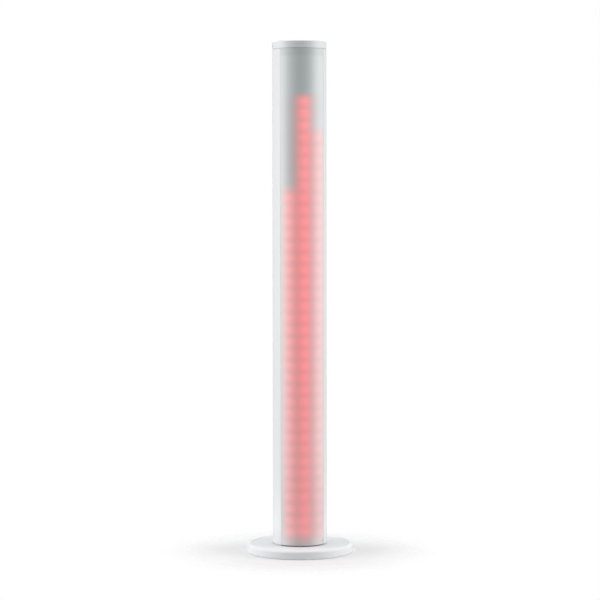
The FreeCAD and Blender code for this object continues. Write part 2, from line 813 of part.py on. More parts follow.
def make_led_boards():
    """Four boards end to end, each on four tubular spacers."""
    spacers, screws = [], []
    for n in range(BOARDS):
        zs = (f"{board_low(n)} + 0.15", f"{board_low(n)} + {BOARD_LENGTH} - 0.15")
        sheet_of_board = block(
            f"board_blank_{n}", ("-board_width / 2", "board_width / 2"), ("-board_front", BOARD_BACK), zs
        )
        holes = []
        for m, (x, z) in enumerate(board_screw_spots(n)):
            mark = f"{n}_{m}"
            across = ("-board_front - 1", f"{BOARD_BACK} + 1")
            holes.append(crosswise(f"board_hole_{mark}", "screw_hole", across, x, z))
            gap = (BOARD_BACK, CARRIER_FRONT)
            tube = crosswise(f"spacer_tube_{mark}", "spacer_radius", gap, x, z)
            bore = crosswise(f"spacer_bore_{mark}", "screw_hole + 0.1", gap, x, z)
            spacers.append(cut(f"spacer_{mark}", tube, [bore]))
            screw_span = ("-board_front", f"{CARRIER_BACK} + 2")
            screws.append(crosswise_screw(f"board_screw_{mark}", x, z, screw_span))
        keep(f"led_board_{n + 1}", cut(f"led_board_{n + 1}", sheet_of_board, holes))
    keep("board_spacers", group("board_spacers", spacers))
    keep("board_screws", group("board_screws", screws))
    links = [
        block(
            f"link_{n}",
            ("-link_width / 2", "link_width / 2"),
            (BOARD_BACK, f"{BOARD_BACK} + link_thick"),
            (f"{board_low(n)} - link_length / 2", f"{board_low(n)} + link_length / 2"),
        )
        for n in range(1, BOARDS)
    ]
    keep("board_links", group("board_links", links))


def make_leds():
    """Three columns of surface-mount LEDs on the fronts of the boards."""
    rows = int(value("led_rows")) * BOARDS
    for name, side in (("left", "-1"), ("centre", "0"), ("right", "1")):
        column = []
        for row in range(rows):
            middle = f"first_board + ({row} + 0.5) * led_pitch"
            column.append(
                block(
                    f"led_{name}_{row}",
                    (f"{side} * led_column - led_size / 2", f"{side} * led_column + led_size / 2"),
                    ("-board_front - led_thick", "-board_front"),
                    (f"{middle} - led_size / 2", f"{middle} + led_size / 2"),
                )
            )
        keep(f"leds_{name}", group(f"leds_{name}", column))


# ---- the control panel ----


def rounded_window(name, shrink, ys, corner):
    """An upright prism through the back of the tube with the control panel's outline."""
    xs = (f"-panel_width / 2 + {shrink}", f"panel_width / 2 - {shrink}")
    zs = (f"panel_low + {shrink}", f"{PANEL_HIGH} - {shrink}")
    wide = block(f"{name}_wide", xs, ys, (f"{zs[0]} + {corner}", f"{zs[1]} - {corner}"))
    tall = block(f"{name}_tall", (f"{xs[0]} + {corner}", f"{xs[1]} - {corner}"), ys, zs)
    rounds = [
        crosswise(f"{name}_corner_{n}", corner, ys, x, z)
        for n, (x, z) in enumerate(
            (x, z)
            for x in (f"{xs[0]} + {corner}", f"{xs[1]} - {corner}")
            for z in (f"{zs[0]} + {corner}", f"{zs[1]} - {corner}")
        )
    ]
    return fuse(name, [wide, tall] + rounds)


def panel_screw_spots():
    levels = ("panel_low - panel_screw_margin", f"{PANEL_HIGH} + panel_screw_margin")
    return [(x, z) for z in levels for x in ("-panel_screw_side", "panel_screw_side")]


def button_spots():
    return [(f"{n} * button_pitch", "button_level") for n in (-1.5, -0.5, 0.5, 1.5)]


def panel_post_spots():
    levels = (MICROPHONE, "display_level + 14")
    return [(x, z) for z in levels for x in ("-panel_post_side", "panel_post_side")]


def make_control_panel():
    """The tray set into the back: a flat floor for the sockets, low walls and a flange in the housing."""
    tray = common(
        "panel_tray",
        rounded_window("tray_outline", "panel_play", (FLOOR_BACK, "80"), "tray_corner"),
        upright("tray_limit", OUTER, ("0", "400")),
    )
    flange_shell = cut(
        "flange_shell",
        upright(
            "flange_outer",
            f"{INNER} - panel_play",
            ("panel_low - flange_margin", f"{PANEL_HIGH} + flange_margin"),
        ),
        [upright("flange_inner", f"{INNER} - panel_play - flange_thick", ("0", "400"))],
    )
    middle = ("-flange_width / 2", "flange_width / 2")
    flange = common("panel_flange", flange_shell, block("flange_box", middle, ("30", "80"), ("0", "400")))
    posts = [
        crosswise(f"panel_post_{n}", "panel_post", ("panel_board_face", f"{FLOOR_BACK} + 0.5"), x, z)
        for n, (x, z) in enumerate(panel_post_spots())
    ]
    solid = fuse("panel_solid", [tray, flange] + posts)
    through = ("30", "panel_floor + 1")
    cuts = [rounded_window("tray_pocket", "panel_play + panel_wall", ("panel_floor", "80"), "pocket_corner")]
    cuts.append(around("inlet_hole", "inlet_shell + 0.4", through, "inlet_level", "inlet_shell_tall + 0.4"))
    for name, level in (("input", "input_level"), ("output", "output_level")):
        cuts.append(crosswise(f"{name}_hole", "socket_radius + 0.2", through, "0", level))
        for n, (x, z) in enumerate(socket_screw_spots(level)):
            cuts.append(crosswise(f"{name}_screw_hole_{n}", "small_shank + 0.05", through, x, z))
    notch_zs = ("output_level + latch_low - 1", "output_level + latch_low + latch_tall + 0.6")
    cuts.append(block("latch_notch", ("-latch_width / 2 - 0.6", "latch_width / 2 + 0.6"), through, notch_zs))
    open_width, open_tall = "display_width - 3.6", "display_tall - 2.6"
    cuts.append(around("display_hole", open_width, through, "display_level", open_tall))
    sunk = ("panel_floor - display_sink", "80")
    cuts.append(around("display_recess", "display_width + 0.4", sunk, "display_level", "display_tall + 0.4"))
    for n, (x, z) in enumerate(button_spots()):
        cuts.append(crosswise(f"button_hole_{n}", "button_radius + button_hole_play", through, x, z))
    cuts.append(crosswise("microphone_hole", "sound_hole", through, "0", MICROPHONE))
    for n, (x, z) in enumerate(panel_screw_spots()):
        cuts.append(crosswise(f"flange_hole_{n}", "screw_hole", ("30", "80"), x, z))
    for n, (x, z) in enumerate(panel_post_spots()):
        depth = ("panel_board_face - 1", f"{FLOOR_BACK} - 1")
        cuts.append(crosswise(f"post_hole_{n}", "small_shank + 0.05", depth, x, z))
    keep("control_panel", cut("control_panel", solid, cuts))
    # the heads of these screws stand just clear of the round wall outside
    screws = [
        crosswise_screw(f"panel_screw_{n}", x, z, ("sqrt(tube_diameter ^ 2 / 4 - 16.2 ^ 2)", "44"))
        for n, (x, z) in enumerate(panel_screw_spots())
    ]
    keep("panel_screws", group("panel_screws", screws))


def make_power_inlet():
    """The three-pin mains inlet: a flanged box with a keyed cavity, and its flat pins."""
    level = "inlet_level"
    flange = around("inlet_flange", "inlet_width", ("panel_floor", "panel_floor + 2.2"), level, "inlet_tall")
    shell = around("inlet_box", "inlet_shell", ("inlet_end", "panel_floor"), level, "inlet_shell_tall")
    mouth = ("inlet_floor", "80")
    cavity = block("inlet_cavity", ("-12", "12"), mouth, (f"{level} - 8.4", f"{level} + 4"))
    crown = block("inlet_crown", ("-8", "8"), mouth, (f"{level} + 3", f"{level} + 8.4"))
    pins, slots = [], []
    places = (("live", "-pin_side", "-pin_long"), ("neutral", "pin_side", "-pin_long"), ("earth", "0", "0"))
    for name, x, low in places:
        zs = (f"{level} + {low}", f"{level} + {low} + pin_long")
        xs = (f"{x} - 1", f"{x} + 1")
        pins.append(block(f"pin_{name}", xs, ("pin_end", "pin_tip"), zs))
        slots.append(block(f"slot_{name}", xs, ("pin_end", "pin_tip"), zs))
    keep("power_inlet", cut("power_inlet", fuse("inlet_solid", [flange, shell]), [cavity, crown] + slots))
    keep("inlet_pins", group("inlet_pins", pins))


def socket_screw_spots(level):
    return [
        ("-socket_screw_side", f"{level} + socket_screw_rise"),
        ("socket_screw_side", f"{level} - socket_screw_rise"),
    ]


def socket_shell(name, level, floor):
    """A round data socket: a square flange, a barrel through the panel and an open bore."""
    flange = around(f"{name}_flange", "socket_width", ("panel_floor", SOCKET_FACE), level, "socket_tall")
    barrel = crosswise(f"{name}_barrel", "socket_radius", ("socket_end", "panel_floor"), "0", level)
    bore = crosswise(f"{name}_bore", "socket_bore", (floor, "80"), "0", level)
    holes = [
        crosswise(f"{name}_flange_hole_{n}", "screw_hole", ("panel_floor - 1", f"{SOCKET_FACE} + 1"), x, z)
        for n, (x, z) in enumerate(socket_screw_spots(level))
    ]
    return cut(f"{name}_shell", fuse(f"{name}_solid", [flange, barrel]), [bore] + holes)


def contact_spots(level):
    """Three contacts in a triangle."""
    high = f"{level} + contact_side"
    return [("-contact_side", high), ("contact_side", high), ("0", f"{level} - contact_drop")]


def make_data_sockets():
    """The data input with its three pins, and the data output with its insert, contacts and latch."""
    shell = socket_shell("input_socket", "input_level", "inlet_floor")
    spots = contact_spots("input_level")
    floor = ("contact_end", "inlet_floor + 1")
    seats = [crosswise(f"pin_seat_{n}", PIN_RADIUS, floor, x, z) for n, (x, z) in enumerate(spots)]
    keep("data_input_socket", cut("data_input_socket", shell, seats))
    length = ("contact_end", "pin_tip - 2")
    pins = [crosswise(f"data_pin_{n}", PIN_RADIUS, length, x, z) for n, (x, z) in enumerate(spots)]
    keep("data_input_pins", group("data_input_pins", pins))

    floor = "(inlet_floor + 4)"
    shell = socket_shell("output_socket", "output_level", floor)
    slot_zs = ("output_level + latch_low - 0.7", "output_level + latch_low + latch_tall + 0.3")
    slot = block("latch_slot", ("-latch_width / 2 - 0.3", "latch_width / 2 + 0.3"), ("36", "80"), slot_zs)
    spots = contact_spots("output_level")
    seats = [
        crosswise(f"contact_seat_{n}", "contact_bore", ("contact_end", f"{floor} + 1"), x, z)
        for n, (x, z) in enumerate(spots)
    ]
    keep("data_output_socket", cut("data_output_socket", shell, [slot] + seats))
    plug = crosswise("insert_solid", "insert_radius", (floor, "panel_floor + 0.6"), "0", "output_level")
    bores = [
        crosswise(f"insert_bore_{n}", "contact_bore", (f"{floor} - 1", "50"), x, z)
        for n, (x, z) in enumerate(spots)
    ]
    keep("data_output_insert", cut("data_output_insert", plug, bores))
    contacts = []
    for n, (x, z) in enumerate(spots):
        sleeve = crosswise(f"sleeve_{n}", "contact_bore", ("contact_end", "pin_tip"), x, z)
        mouth = crosswise(f"sleeve_mouth_{n}", "contact_bore - 0.35", ("30", "50"), x, z)
        contacts.append(cut(f"contact_{n}", sleeve, [mouth]))
    keep("data_output_contacts", group("data_output_contacts", contacts))
    tab_zs = ("output_level + latch_low", "output_level + latch_low + latch_tall")
    tab_ys = ("39", f"{SOCKET_FACE} + latch_proud")
    keep("output_latch", block("latch_tab", ("-latch_width / 2", "latch_width / 2"), tab_ys, tab_zs))
    screws = []
    for name, level in (("input", "input_level"), ("output", "output_level")):
        for n, (x, z) in enumerate(socket_screw_spots(level)):
            crown = f"({SOCKET_FACE} + small_head_thick)"
            head = crosswise(f"{name}_screw_head_{n}", "small_head", (SOCKET_FACE, crown), x, z)
            shank = crosswise(f"{name}_screw_shank_{n}", "small_shank", ("36", SOCKET_FACE), x, z)
            key = crosswise(f"{name}_screw_key_{n}", "1", (f"{crown} - 0.8", f"{crown} + 1"), x, z)
            solid = fuse(f"{name}_screw_solid_{n}", [head, shank])
            screws.append(cut(f"{name}_screw_{n}", solid, [key]))
    keep("socket_screws", group("socket_screws", screws))


def make_panel_board():
    """The small board behind the panel, with the display, the button switches and the microphone."""
    front = "panel_board_face"
    blank = block(
        "panel_blank",
        ("-panel_board_width / 2", "panel_board_width / 2"),
        (f"{front} - board_thick", front),
        ("button_level - 15.5", "display_level + 17"),
    )
    holes = [
        crosswise(f"panel_board_hole_{n}", "small_shank + 0.15", ("30", "36"), x, z)
        for n, (x, z) in enumerate(panel_post_spots())
    ]
    keep("panel_board", cut("panel_board", blank, holes))
    screws = []
    for n, (x, z) in enumerate(panel_post_spots()):
        back = f"({front} - board_thick)"
        head = crosswise(f"board_fix_head_{n}", "small_head", (f"{back} - small_head_thick", back), x, z)
        shank = crosswise(f"board_fix_shank_{n}", "small_shank", (back, f"{FLOOR_BACK} - 1.4"), x, z)
        screws.append(fuse(f"board_fix_{n}", [head, shank]))
    keep("panel_board_screws", group("panel_board_screws", screws))
    switches = []
    for n, (x, z) in enumerate(button_spots()):
        xs, zs = (f"{x} - 3", f"{x} + 3"), (f"{z} - 3", f"{z} + 3")
        base = block(f"switch_base_{n}", xs, (front, f"{front} + 2.6"), zs)
        stem_top = f"{BUTTON_BACK} - button_travel - 0.4"
        stem = crosswise(f"switch_stem_{n}", "1.6", (f"{front} + 2.6", stem_top), x, z)
        switches.append(fuse(f"switch_{n}", [base, stem]))
    keep("button_switches", group("button_switches", switches))
    faces = ("panel_floor - display_sink", "panel_floor + 0.5")
    keep("display_window", around("window", "display_width", faces, "display_level", "display_tall"))
    depth = (front, "panel_floor - display_sink - 0.2")
    keep("display_module", around("module", "display_width - 4", depth, "display_level", "display_tall - 3"))
    keep("microphone", crosswise("capsule", "3", (front, f"{FLOOR_BACK} - 0.4"), "0", MICROPHONE))


def make_buttons():
    """Four round push buttons, each held behind the panel's floor by a thin flange.

    A button's back stays clear of its switch over the whole of button_travel.
    """
    for n, (x, z) in enumerate(button_spots()):
        name = ("enter", "up", "down", "menu")[n]
        crown = "(panel_floor + button_proud)"
        span = (BUTTON_BACK, f"{FLOOR_BACK} - 0.3")
        flange = crosswise(f"{name}_flange", "button_radius + 1", span, x, z)
        stem = crosswise(f"{name}_stem", "button_radius", (BUTTON_BACK, crown), x, z)
        solid = fuse(f"{name}_solid", [flange, stem])
        doc.recompute()
        rounded = new("Fillet", f"{name}_button")
        rounded.Base = solid
        level = value(crown)
        rim = [
            (number, value("button_round"), value("button_round"))
            for number, edge in enumerate(solid.Shape.Edges, start=1)
            if abs(edge.BoundBox.YMin - level) < 0.01
        ]
        rounded.Edges = rim
        keep(f"button_{name}", rounded)


# ---- the electronics ----


def standoff_spots(low, height):
    """The places of the four posts under a circuit board."""
    levels = (f"{low} + standoff_inset", f"{low} + {height} - standoff_inset")
    return [(x, z) for x in ("-standoff_side", "standoff_side") for z in levels]


def make_standoffs():
    """The posts from the carrier to the two circuit boards behind it."""
    spots = standoff_spots("supply_low", "supply_height")
    spots += standoff_spots("controller_low", "controller_height")
    posts = [
        crosswise(f"standoff_{n}", "standoff_radius", (CARRIER_BACK, CIRCUIT_FRONT), x, z)
        for n, (x, z) in enumerate(spots)
    ]
    keep("circuit_standoffs", group("circuit_standoffs", posts))


def make_power_supply():
    """The mains supply: its board, a shield sheet in front of it and its large components."""
    low = "supply_low"
    half = "circuit_width / 2"
    zs = (low, f"{low} + supply_height")
    keep("supply_board", block("supply_blank", (f"-{half}", half), (CIRCUIT_FRONT, CIRCUIT_BACK), zs))
    lift = f"{CARRIER_BACK} + shield_lift"
    shield = block("shield_blank", (f"-{half}", half), (lift, f"{lift} + shield_thick"), zs)
    holes = [
        crosswise(f"shield_hole_{n}", "standoff_radius", (CARRIER_BACK, CIRCUIT_FRONT), x, z)
        for n, (x, z) in enumerate(standoff_spots(low, "supply_height"))
    ]
    keep("insulating_sheet", cut("insulating_sheet", shield, holes))

    def on_board(name, xs, height, zs_above):
        """A boxy component standing on the board's back."""
        levels = (f"{low} + {zs_above[0]}", f"{low} + {zs_above[1]}")
        return block(name, xs, (CIRCUIT_BACK, f"{CIRCUIT_BACK} + {height}"), levels)

    core = on_board("core", ("-17", "17"), 24, (62, 92))
    coil = crosswise("coil", "12.5", (CIRCUIT_BACK, f"{CIRCUIT_BACK} + 26"), "0", f"{low} + 77")
    keep("transformer", fuse("transformer", [core, coil]))
    cans = [
        crosswise(f"can_{n}", radius, (CIRCUIT_BACK, f"{CIRCUIT_BACK} + {tall}"), x, f"{low} + {z}")
        for n, (radius, tall, x, z) in enumerate(((9, 28, -14, 46), (5, 18, -18, 112), (5, 18, -4, 112)))
    ]
    keep("supply_capacitors", group("supply_capacitors", cans))
    foot = on_board("heatsink_foot", ("9", "26"), 3, (100, 132))
    fins = [on_board(f"fin_{n}", (f"{9 + 4 * n}", f"{10.5 + 4 * n}"), 20, (100, 132)) for n in range(5)]
    keep("supply_heatsink", fuse("supply_heatsink", [foot] + fins))
    choke = crosswise("choke_ring", "8", (CIRCUIT_BACK, f"{CIRCUIT_BACK} + 9"), "14", f"{low} + 40")
    eye = crosswise("choke_eye", "3.2", (CIRCUIT_BACK, f"{CIRCUIT_BACK} + 10"), "14", f"{low} + 40")
    keep("mains_choke", cut("mains_choke", choke, [eye]))
    glass = new("Cylinder", "fuse_glass")
    bind(glass, Radius="2.6", Height="20")
    glass.Placement.Rotation = FreeCAD.Rotation(FreeCAD.Vector(0, 1, 0), 90)
    bind(glass, Base_x="-28", Base_y=f"{CIRCUIT_BACK} + 5.4", Base_z=f"{low} + 22")
    clips = [
        on_board(f"fuse_clip_{n}", (x, f"{x} + 4"), 5.4, (18.4, 25.6)) for n, x in enumerate(("-28", "-12"))
    ]
    keep("mains_fuse", fuse("mains_fuse", [glass] + clips))


def make_controller():
    """The controller board with its chips and plugs."""
    low = "controller_low"
    half = "circuit_width / 2"
    zs = (low, f"{low} + controller_height")
    faces = (CIRCUIT_FRONT, CIRCUIT_BACK)
    keep("controller_board", block("controller_blank", (f"-{half}", half), faces, zs))
    chips = []
    for n, (x, z, wide, tall, height) in enumerate(
        ((0, 70, 14, 14, 1.8), (-18, 74, 8, 10, 1.8), (20, 96, 9, 9, 3.5), (-18, 104, 6, 12, 1.8))
    ):
        xs = (f"{x - wide / 2}", f"{x + wide / 2}")
        levels = (f"{low} + {z - tall / 2}", f"{low} + {z + tall / 2}")
        chips.append(block(f"chip_{n}", xs, (CIRCUIT_BACK, f"{CIRCUIT_BACK} + {height}"), levels))
    keep("controller_chips", group("controller_chips", chips))


def lead(name, spots, radius, bend):
    """An insulated wire through the spots: straight runs with one bend radius between them."""
    points = [FreeCAD.Vector(*(value(c) for c in spot)) for spot in spots]
    edges = []
    start = points[0]
    for before, corner, after in zip(points, points[1:], points[2:]):
        back = (before - corner).normalize()
        on = (after - corner).normalize()
        half = back.getAngle(on) / 2
        inset = bend / math.tan(half)
        first = corner + back * inset
        last = corner + on * inset
        centre = corner + (back + on).normalize() * (bend / math.sin(half))
        middle = centre + (corner - centre).normalize() * bend
        edges.append(Part.LineSegment(start, first).toShape())
        edges.append(Part.Arc(first, middle, last).toShape())
        start = last
    edges.append(Part.LineSegment(start, points[-1]).toShape())
    path = Part.Wire(edges)
    heading = points[1] - points[0]
    ring = Part.Wire([Part.Circle(points[0], heading, radius).toShape()])
    made = new("Feature", name)
    made.Shape = path.makePipeShell([ring], True, True)
    return made


def make_leads():
    """The wiring: mains to the supply, supply to controller, controller to panel and LED boards."""
    rise = CIRCUIT_BACK + " + 19"
    mains = []
    for name, x, level in (("live", "-7", "-2"), ("neutral", "7", "-2"), ("earth", "0", "2")):
        start = f"inlet_level + ({level})"
        end = "supply_low + 9"
        spots = [(x, "19", start), (x, rise, start), (x, rise, end), (x, CIRCUIT_BACK, end)]
        mains.append(lead(f"mains_lead_{name}", spots, 1.3, 5))
    keep("mains_leads", group("mains_leads", mains))
    supply = []
    for n, x in enumerate(("18", "22")):
        top, end = "supply_low + 9", "controller_low + controller_height - 22"
        out = CIRCUIT_BACK + " + 12"
        spots = [(x, CIRCUIT_BACK, top), (x, out, top), (x, out, end), (x, CIRCUIT_BACK, end)]
        supply.append(lead(f"supply_lead_{n}", spots, 1.1, 4))
    keep("supply_leads", group("supply_leads", supply))
    ribbon = [
        crosswise(
            f"panel_lead_{n}",
            "0.6",
            (CIRCUIT_BACK, "panel_board_face - board_thick"),
            f"{-14 - 1.5 * n}",
            "controller_low + controller_height - 8",
        )
        for n in range(5)
    ]
    drops = [
        crosswise(f"led_lead_{n}", "0.9", (BOARD_BACK, CIRCUIT_FRONT), f"{3 * n - 3}", "controller_low + 8")
        for n in range(3)
    ]
    keep("signal_leads", group("signal_leads", ribbon + drops))


# ---- building, checking and writing ----

make_base_cover()
make_weight_plate()
make_rubber_feet()
make_base_screws()
make_bottom_cap()
make_rear_housing()
make_front_diffuser()
make_top()
make_led_carrier()
make_led_boards()
make_leds()
make_control_panel()
make_power_inlet()
make_data_sockets()
make_panel_board()
make_buttons()
make_standoffs()
make_power_supply()
make_controller()
make_leads()
doc.recompute()

faults = [o.Name for o in doc.Objects if "Invalid" in o.State or "Error" in o.State]
for name, part in parts.items():
    if part.Shape.isNull() or not part.Shape.isValid() or not part.Shape.Solids:
        faults.append(name)
if faults:
    print("not written, because these failed:", faults)
    sys.exit(1)

os.makedirs("parts", exist_ok=True)
for name, part in parts.items():
    part.Shape.exportStep(f"parts/{name}.step")
    box = part.Shape.BoundBox
    print(f"{name}: {len(part.Shape.Solids)} solids, {part.Shape.Volume:.0f} mm3, {box}")
print(len(parts), "nodes")
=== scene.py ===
"""The looks of the LED light column: materials, small moulded details, the studio and the camera.

Everything is in metres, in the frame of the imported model: the front faces -Y, +Z is up and the origin is
the middle of the floor under the base. Azimuths are measured round the tube from the front, towards +X.
"""

import json
import math
from collections import namedtuple

import bmesh
import bpy
from mathutils import Matrix, Vector


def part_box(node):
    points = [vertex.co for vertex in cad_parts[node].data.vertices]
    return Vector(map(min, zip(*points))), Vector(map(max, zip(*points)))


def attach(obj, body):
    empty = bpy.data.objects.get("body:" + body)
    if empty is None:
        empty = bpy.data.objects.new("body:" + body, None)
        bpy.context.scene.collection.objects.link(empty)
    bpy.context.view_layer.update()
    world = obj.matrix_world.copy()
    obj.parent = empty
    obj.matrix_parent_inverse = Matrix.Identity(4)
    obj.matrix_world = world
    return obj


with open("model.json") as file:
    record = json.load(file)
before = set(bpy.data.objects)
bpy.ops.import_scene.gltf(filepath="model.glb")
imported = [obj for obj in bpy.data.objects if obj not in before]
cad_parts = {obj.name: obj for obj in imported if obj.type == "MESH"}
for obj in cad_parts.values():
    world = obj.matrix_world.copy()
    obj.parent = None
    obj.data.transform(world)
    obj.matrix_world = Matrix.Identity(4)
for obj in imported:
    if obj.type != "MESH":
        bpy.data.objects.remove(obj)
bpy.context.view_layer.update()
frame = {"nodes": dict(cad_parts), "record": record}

MM = 0.001
COLUMN = "column"

# ---- places read from the frame ----


def low(node):
    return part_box(node)[0]


def high(node):
    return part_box(node)[1]


def middle(node):
    return (low(node) + high(node)) / 2


TUBE_LOW = low("front_diffuser").z
SOCKET_FLANGE = 2 * MM
PANEL_FLOOR = high("data_input_socket").y - SOCKET_FLANGE

LED_ROWS = 40
LED_SIZE = high("leds_centre").x - low("leds_centre").x
FIRST_LED = low("leds_centre").z + LED_SIZE / 2
LED_PITCH = (high("leds_centre").z - low("leds_centre").z - LED_SIZE) / (LED_ROWS - 1)

# ---- how the lit columns look through the diffuser, with their light painted on it ----

# A lit column has its azimuth and the spread of its glow, both in degrees, the number of its lit rows, how
# much red its glow adds, how strong a red cast of its light it paints into the diffuser's colour, how many
# rows the glow takes to fade out above the last lit one, and how much its LEDs stand out from the gaps
# between them.
LitColumn = namedtuple("LitColumn", "azimuth spread rows red tint fade contrast")
LIT_COLUMNS = {
    "leds_left": LitColumn(-30.5, spread=11.4, rows=29, red=0.40, tint=0.12, fade=1.35, contrast=0.50),
    "leds_centre": LitColumn(0.3, spread=11.7, rows=37, red=0.57, tint=0.17, fade=0.95, contrast=0.28),
    "leds_right": LitColumn(34.0, spread=13.4, rows=34, red=0.21, tint=0.14, fade=1.2, contrast=0.33),
}
RED = (1.0, 0.03, 0.045, 1.0)
# the spread of each column's painted red cast, in degrees
RED_CAST_SPREAD = 22
# how much weaker the painted red cast is at an LED than between two
SPOT_CLEARING = 0.6
# over the lowest rows the glow rises from this much to its full strength
WEAK_ROWS = 20
WEAK_GLOW = 0.82
# from just above the first row down, the painted glow fades out and its painted red cast fades to this much
FOOT_FADE = (FIRST_LED - 1.25 * LED_PITCH, FIRST_LED + 0.4 * LED_PITCH)
FOOT_RED_CAST = 0.5
LED_BRIGHTNESS = 6.0

# ---- the tones of the white pieces, and of the seat under the tube, with their painted light and shade ----

# the diffuser's colour has painted light that makes it paler towards its sides, between two angles from the
# front, and painted shade that makes it darker at both ends
FROST = (0.645, 0.70, 0.705)
FROST_SIDE_LIGHT = (0.768, 0.796, 0.80)
FROST_TURN = (math.radians(5), math.radians(45))
FROST_TOP_SHADE = 0.93
FROST_FOOT_SHADE = 0.83
# the housing has painted shade that makes it darker over its lowest stretch
HOUSING_TONE = (0.81, 0.825, 0.835)
HOUSING_FOOT_SHADE = 0.84
HOUSING_FOOT_SHADE_HEIGHT = 45 * MM
CAP_TONE = (0.80, 0.825, 0.83)
BASE_TONE = (0.70, 0.715, 0.73)
# The seat is dark below the diffuser, and painted light makes it pale below the housing. It changes over
# between two angles from its darkest place, which is a little towards +X from the front.
SEAT_DARK = 0.22
SEAT_PAINTED_LIGHT = 0.62
SEAT_DARKEST = math.radians(5)
SEAT_TURN = (math.radians(56), math.radians(68))

# ---- the studio ----

CAMERA_AZIMUTH = -9.2
CAMERA_DISTANCE = 4.451
CAMERA_HEIGHT = 0.767
CAMERA_PITCH = 3.228
CAMERA_ROLL = 0.084
CAMERA_YAW = 0.011
CAMERA_LENS = 131.2
FILL_LIGHT = 0.18
# the two softboxes' azimuths are measured from the camera's
LEFT_AZIMUTH = -80
RIGHT_AZIMUTH = 79
LEFT_RADIANCE = 4.65
RIGHT_RADIANCE = 4.4
SOFTBOX_DISTANCE = 2.3
SOFTBOX_HEIGHT = 0.85
SOFTBOX_SIZE = (1.7, 2.2)
SOFTBOX_AIM = Vector((0, 0, 0.52))
OVERHEAD_LIGHT = 2.36
OVERHEAD_SPREAD = 45
OVERHEAD_LEAN = 7
FLOOR_RADIUS = 1.6
# between these distances from the middle the floor fades into the white round it
FLOOR_FADE = (0.12, 0.30)


# ---- node graphs ----


class Graph:
    """The node tree of one material, with short calls for the nodes that the finishes use."""

    def __init__(self, name):
        self.material = bpy.data.materials.new(name)
        self.material.use_nodes = True
        self.tree = self.material.node_tree
        self.shader = self.tree.nodes["Principled BSDF"]

    def node(self, kind, **settings):
        made = self.tree.nodes.new(kind)
        for key, setting in settings.items():
            setattr(made, key, setting)
        return made

    def feed(self, socket, source):
        """Gives a socket a number, a colour or another node's output."""
        if isinstance(source, bpy.types.NodeSocket):
            self.tree.links.new(source, socket)
        else:
            socket.default_value = source

    def math(self, operation, *values):
        made = self.node("ShaderNodeMath", operation=operation)
        for socket, source in zip(made.inputs, values):
            self.feed(socket, source)
        return made.outputs[0]

    def place(self):
        """The point on the object, in metres."""
        return self.node("ShaderNodeTexCoord").outputs["Object"]

    def xyz(self):
        parts = self.node("ShaderNodeSeparateXYZ")
        self.feed(parts.inputs[0], self.place())
        return parts.outputs

    def step(self, value, start, end, below=0.0, above=1.0):
        """A smooth change from one value to another between two places."""
        made = self.node("ShaderNodeMapRange", interpolation_type="SMOOTHSTEP")
        for socket, source in zip(made.inputs, (value, start, end, below, above)):
            self.feed(socket, source)
        return made.outputs[0]

    def azimuth(self, x, y):
        """The angle round the tube from the front, in radians."""
        return self.math("ARCTAN2", x, self.math("MULTIPLY", y, -1.0))

    def noise(self, scale, detail=3.0, roughness=0.55, stretch=(1, 1, 1)):
        """Noise with features about one over scale metres wide, and longer along an axis of small stretch."""
        shape = self.node("ShaderNodeMapping")
        self.feed(shape.inputs["Vector"], self.place())
        shape.inputs["Scale"].default_value = stretch
        made = self.node("ShaderNodeTexNoise")
        self.feed(made.inputs["Vector"], shape.outputs[0])
        made.inputs["Scale"].default_value = scale
        made.inputs["Detail"].default_value = detail
        made.inputs["Roughness"].default_value = roughness
        return made.outputs["Fac"]

    def lobe(self, azimuth, centre, spread):
        """A bell curve round the tube, one at its centre. The centre and the spread are in degrees."""
        off = self.math("DIVIDE", self.math("SUBTRACT", azimuth, math.radians(centre)), math.radians(spread))
        return self.math("EXPONENT", self.math("MULTIPLY", self.math("MULTIPLY", off, off), -0.5))

    def around(self, value, centre, spread):
        """A value from 0 to 1, such as noise, spread evenly about a centre."""
        return self.math("MULTIPLY_ADD", value, 2 * spread, centre - spread)

    def mix(self, amount, first, second):
        made = self.node("ShaderNodeMix", data_type="RGBA")
        self.feed(made.inputs["Factor"], amount)
        # the node has one pair of inputs for each data type, and these are its colours
        self.feed(made.inputs[6], first)
        self.feed(made.inputs[7], second)
        return made.outputs[2]

    def colour(self, red, green, blue):
        made = self.node("ShaderNodeCombineColor")
        for socket, source in zip(made.inputs, (red, green, blue)):
            self.feed(socket, source)
        return made.outputs[0]

    def bump(self, height, strength, distance):
        made = self.node("ShaderNodeBump")
        made.inputs["Strength"].default_value = strength
        made.inputs["Distance"].default_value = distance
        self.feed(made.inputs["Height"], height)
        self.feed(self.shader.inputs["Normal"], made.outputs[0])

    def finish(self, **sockets):
        """Sets the shader's own sockets. An underscore stands for a space in a socket's name."""
        for name, source in sockets.items():
            self.feed(self.shader.inputs[name.replace("_", " ")], source)
        return self.material


def shade(colour, factor):
    return (*(min(1.0, c * factor) for c in colour), 1.0)


def moulded(name, colour, roughness, grain=900, relief=0.04, drift=0.025, **sockets):
    """Moulded plastic: a slow drift of tone, and a fine grain that breaks up its gloss."""
    g = Graph(name)
    tone = g.mix(g.noise(7), shade(colour, 1 - drift), shade(colour, 1 + drift))
    gloss = g.around(g.noise(60, detail=4), roughness, 0.05)
    g.bump(g.noise(grain, detail=2), relief, 0.00008)
    return g.finish(Base_Color=tone, Roughness=gloss, **sockets)


def metal(name, colour, roughness, stretch=(1, 1, 1), grain=700, relief=0.12):
    """Bare or plated metal with fine marks, drawn out along an axis of small stretch."""
    g = Graph(name)
    marks = g.noise(grain, detail=5, stretch=stretch)
    tone = g.mix(marks, shade(colour, 0.88), shade(colour, 1.08))
    g.bump(marks, relief, 0.00006)
    return g.finish(Base_Color=tone, Roughness=g.around(marks, roughness, 0.09), Metallic=1.0)


